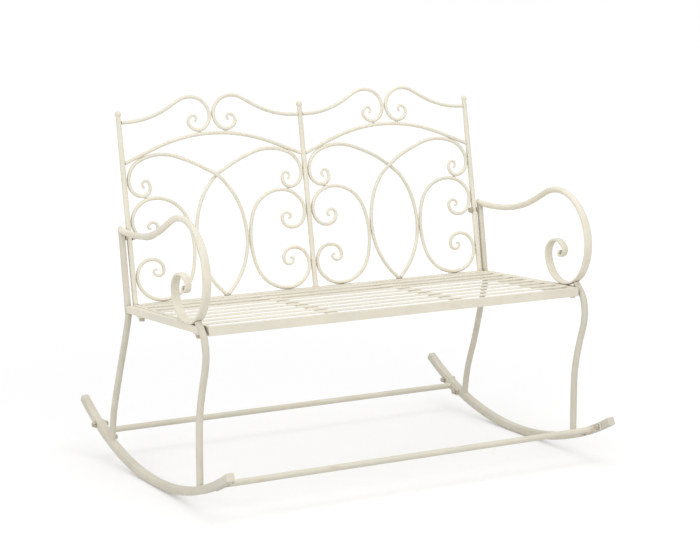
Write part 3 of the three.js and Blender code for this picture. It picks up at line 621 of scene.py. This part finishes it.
WORLD_LIGHT = 0.73
FLOOR_REACH = 14
FLOOR_GREY = 0.7
FLOOR_LIFT_NEAR = 0.32        # what the floor glows by for the camera, under the bench and far from it
FLOOR_LIFT_FAR = 0.52
NEAR, FAR = 0.8, 3.5
WHITE = (1, 1, 1, 1)

LOW_AIM, HIGH_AIM = (0, 0, 0.5), (0, 0, 0.6)


def seen_rays(tree):
    """1 for rays from the camera, off a gloss or through glass, and 0 for light that falls on the bench."""
    path = tree.add("ShaderNodeLightPath")
    seen = tree.math("MAXIMUM", path.outputs["Is Camera Ray"], path.outputs["Is Glossy Ray"])
    return tree.math("MAXIMUM", seen, path.outputs["Is Transmission Ray"])


def build_world():
    world = bpy.data.worlds.new("studio")
    bpy.context.scene.world = world
    tree = Tree(world)
    strength = tree.add("ShaderNodeMapRange", {"Value": seen_rays(tree), "To Min": WORLD_LIGHT, "To Max": 1.0})
    light = tree.add("ShaderNodeBackground", {"Color": WHITE, "Strength": strength.outputs["Result"]})
    tree.add("ShaderNodeOutputWorld", {"Surface": light.outputs["Background"]})


def build_floor():
    mesh = bpy.data.meshes.new("floor")
    corners = [(x * FLOOR_REACH, y * FLOOR_REACH, 0) for x, y in ((-1, -1), (1, -1), (1, 1), (-1, 1))]
    mesh.from_pydata(corners, [], [(0, 1, 2, 3)])
    floor = bpy.data.objects.new("floor", mesh)
    bpy.context.scene.collection.objects.link(floor)
    material = bpy.data.materials.new("floor")
    tree = Tree(material)
    seen = seen_rays(tree)
    spot = tree.add("ShaderNodeTexCoord").outputs["Object"]
    away = tree.add("ShaderNodeVectorMath", {0: spot}, operation="LENGTH").outputs["Value"]
    lift = tree.math("MULTIPLY", seen, tree.ramp(away, NEAR, FAR, FLOOR_LIFT_NEAR, FLOOR_LIFT_FAR))
    matt = tree.add("ShaderNodeBsdfDiffuse", {"Color": (FLOOR_GREY, FLOOR_GREY, FLOOR_GREY, 1)})
    glow = tree.add("ShaderNodeEmission", {"Color": WHITE, "Strength": lift})
    both = tree.add("ShaderNodeAddShader", {0: matt.outputs[0], 1: glow.outputs[0]})
    tree.add("ShaderNodeOutputMaterial", {"Surface": both.outputs[0]})
    mesh.materials.append(material)


def area_light(name, spot, target, size, power):
    data = bpy.data.lights.new(name, "AREA")
    data.shape = "RECTANGLE"
    data.size, data.size_y = size
    data.energy = power
    lamp = bpy.data.objects.new(name, data)
    bpy.context.scene.collection.objects.link(lamp)
    lamp.location = spot
    lamp.rotation_euler = (Vector(target) - Vector(spot)).to_track_quat("-Z", "Y").to_euler()


def build_lights():
    area_light("overhead", spot=(0.2, -0.2, 2.9), target=LOW_AIM, size=(2.6, 2.0), power=20)
    area_light("front", spot=(-0.6, -3.0, 1.7), target=LOW_AIM, size=(2.0, 1.4), power=19)
    area_light("left", spot=(-3.2, -0.7, 1.2), target=HIGH_AIM, size=(1.4, 1.4), power=17)
    area_light("right", spot=(2.8, -1.9, 1.9), target=HIGH_AIM, size=(1.4, 1.4), power=4)


# Camera: where the photograph was taken from, by a fit to the bench's lines in it

FRAME_WIDTH = 700             # pixels
FOCAL_LENGTH = 2013.79        # pixels
SENSOR_WIDTH = 36
CAMERA_PLACE = (-2.52502, -4.41233, 1.33373)
CAMERA_DOWN = 9.559           # degrees below level
CAMERA_TURN = -29.987         # degrees from straight ahead, towards the right


def build_camera():
    data = bpy.data.cameras.new("camera")
    data.sensor_fit = "HORIZONTAL"
    data.sensor_width = SENSOR_WIDTH
    data.lens = FOCAL_LENGTH / FRAME_WIDTH * SENSOR_WIDTH
    camera = bpy.data.objects.new("camera", data)
    bpy.context.scene.collection.objects.link(camera)
    camera.location = CAMERA_PLACE
    camera.rotation_euler = (math.radians(90 - CAMERA_DOWN), 0, math.radians(CAMERA_TURN))
    bpy.context.scene.camera = camera


bpy.context.scene.view_settings.view_transform = "Standard"
build_world()
build_floor()
build_lights()
build_camera()

bpy.context.view_layer.update()
